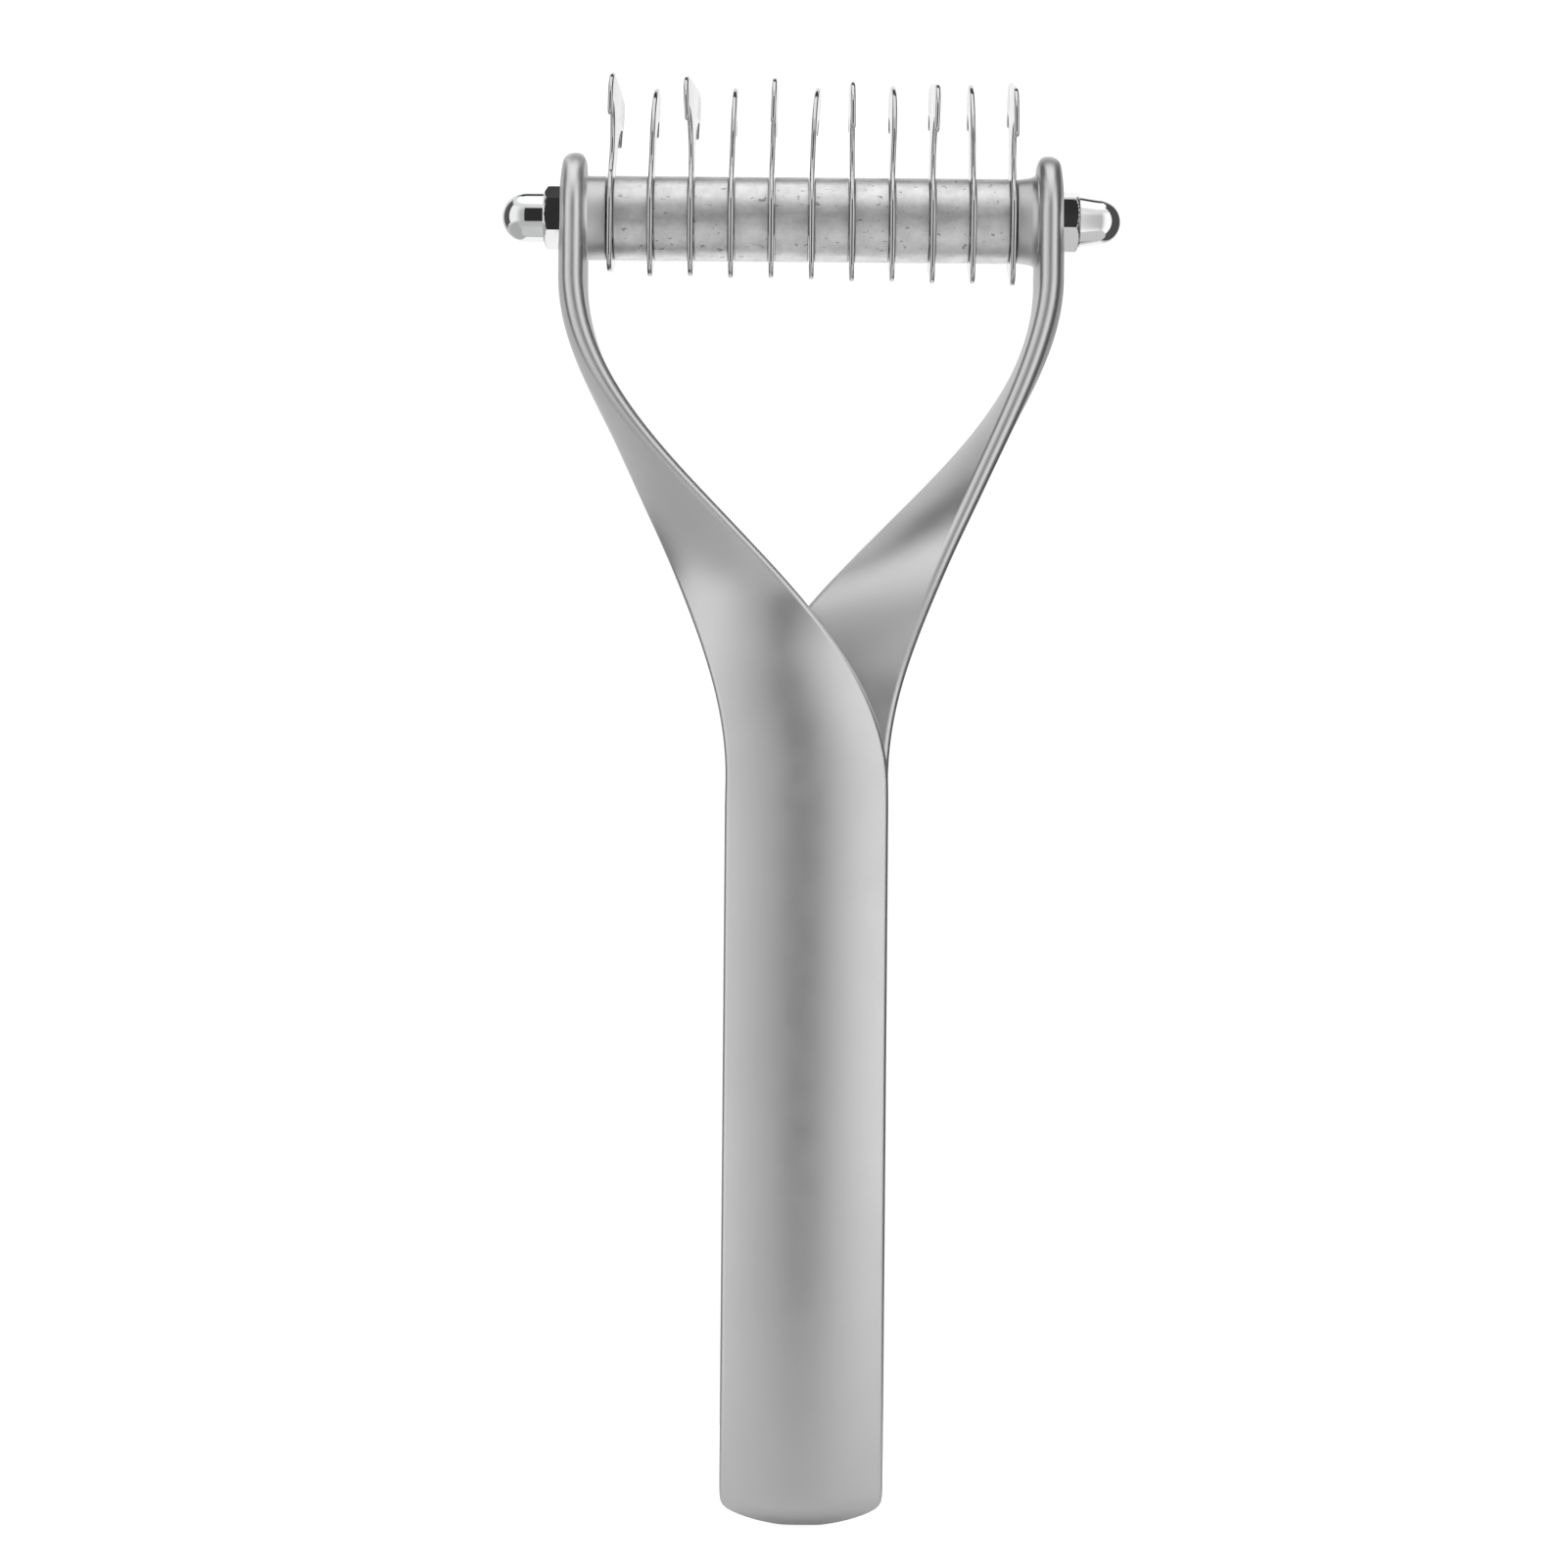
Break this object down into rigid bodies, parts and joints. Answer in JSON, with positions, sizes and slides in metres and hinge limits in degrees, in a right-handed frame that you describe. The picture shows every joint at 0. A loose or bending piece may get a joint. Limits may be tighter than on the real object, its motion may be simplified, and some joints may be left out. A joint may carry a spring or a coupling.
{
  "type": "dematting comb",
  "caption": "Pet dematting comb: flat metal handle forking into two twisted arms that carry hooked blades and tube spacers on a cross rod with acorn nuts.",
  "frame": {"origin": "the butt end of the handle, on the handle's axis", "axes": "+Z along the handle towards the blades, +X along the cross rod to the right as seen from the front, -Y the front face that the picture shows"},
  "size_m": [0.0788, 0.0234, 0.1847],
  "materials": {
    "satin_plated_casting": "satin pearl nickel-chrome plate on a zinc casting, soft streak-free sheen",
    "zinc_plated_steel": "plain zinc-plated threaded rod, hidden inside",
    "chrome_nut": "bright mirror chrome",
    "polished_stainless": "polished stainless sheet",
    "mill_finish_tube": "dull mill-finish tube with scratches and dark pits"
  },
  "bodies": {
    "frame": {"handle_yoke": "satin_plated_casting", "threaded_rod": "zinc_plated_steel", "left_acorn_nut": "chrome_nut", "right_acorn_nut": "chrome_nut", "spacer_01": "mill_finish_tube", "spacer_02": "mill_finish_tube", "spacer_03": "mill_finish_tube", "spacer_04": "mill_finish_tube", "spacer_05": "mill_finish_tube", "spacer_06": "mill_finish_tube", "spacer_07": "mill_finish_tube", "spacer_08": "mill_finish_tube", "spacer_09": "mill_finish_tube", "spacer_10": "mill_finish_tube"},
    "blade_01": {"blade_01": "polished_stainless"},
    "blade_02": {"blade_02": "polished_stainless"},
    "blade_03": {"blade_03": "polished_stainless"},
    "blade_04": {"blade_04": "polished_stainless"},
    "blade_05": {"blade_05": "polished_stainless"},
    "blade_06": {"blade_06": "polished_stainless"},
    "blade_07": {"blade_07": "polished_stainless"},
    "blade_08": {"blade_08": "polished_stainless"},
    "blade_09": {"blade_09": "polished_stainless"},
    "blade_10": {"blade_10": "polished_stainless"},
    "blade_11": {"blade_11": "polished_stainless"}
  },
  "joints": [
    {"name": "blade_01_swing", "type": "hinge", "parent": "frame", "child": "blade_01", "pos_m": [-0.0255, 0, 0.1666], "axis": [1, 0, 0], "range_deg": [-130, 140]},
    {"name": "blade_02_swing", "type": "hinge", "parent": "frame", "child": "blade_02", "pos_m": [-0.0204, 0, 0.1666], "axis": [1, 0, 0], "continuous": true},
    {"name": "blade_03_swing", "type": "hinge", "parent": "frame", "child": "blade_03", "pos_m": [-0.0153, 0, 0.1666], "axis": [1, 0, 0], "continuous": true},
    {"name": "blade_04_swing", "type": "hinge", "parent": "frame", "child": "blade_04", "pos_m": [-0.0102, 0, 0.1666], "axis": [1, 0, 0], "continuous": true},
    {"name": "blade_05_swing", "type": "hinge", "parent": "frame", "child": "blade_05", "pos_m": [-0.0051, 0, 0.1666], "axis": [1, 0, 0], "continuous": true},
    {"name": "blade_06_swing", "type": "hinge", "parent": "frame", "child": "blade_06", "pos_m": [0, 0, 0.1666], "axis": [1, 0, 0], "continuous": true},
    {"name": "blade_07_swing", "type": "hinge", "parent": "frame", "child": "blade_07", "pos_m": [0.0051, 0, 0.1666], "axis": [1, 0, 0], "continuous": true},
    {"name": "blade_08_swing", "type": "hinge", "parent": "frame", "child": "blade_08", "pos_m": [0.0102, 0, 0.1666], "axis": [1, 0, 0], "continuous": true},
    {"name": "blade_09_swing", "type": "hinge", "parent": "frame", "child": "blade_09", "pos_m": [0.0153, 0, 0.1666], "axis": [1, 0, 0], "continuous": true},
    {"name": "blade_10_swing", "type": "hinge", "parent": "frame", "child": "blade_10", "pos_m": [0.0204, 0, 0.1666], "axis": [1, 0, 0], "continuous": true},
    {"name": "blade_11_swing", "type": "hinge", "parent": "frame", "child": "blade_11", "pos_m": [0.0255, 0, 0.1666], "axis": [1, 0, 0], "range_deg": [-150, 120]}
  ]
}
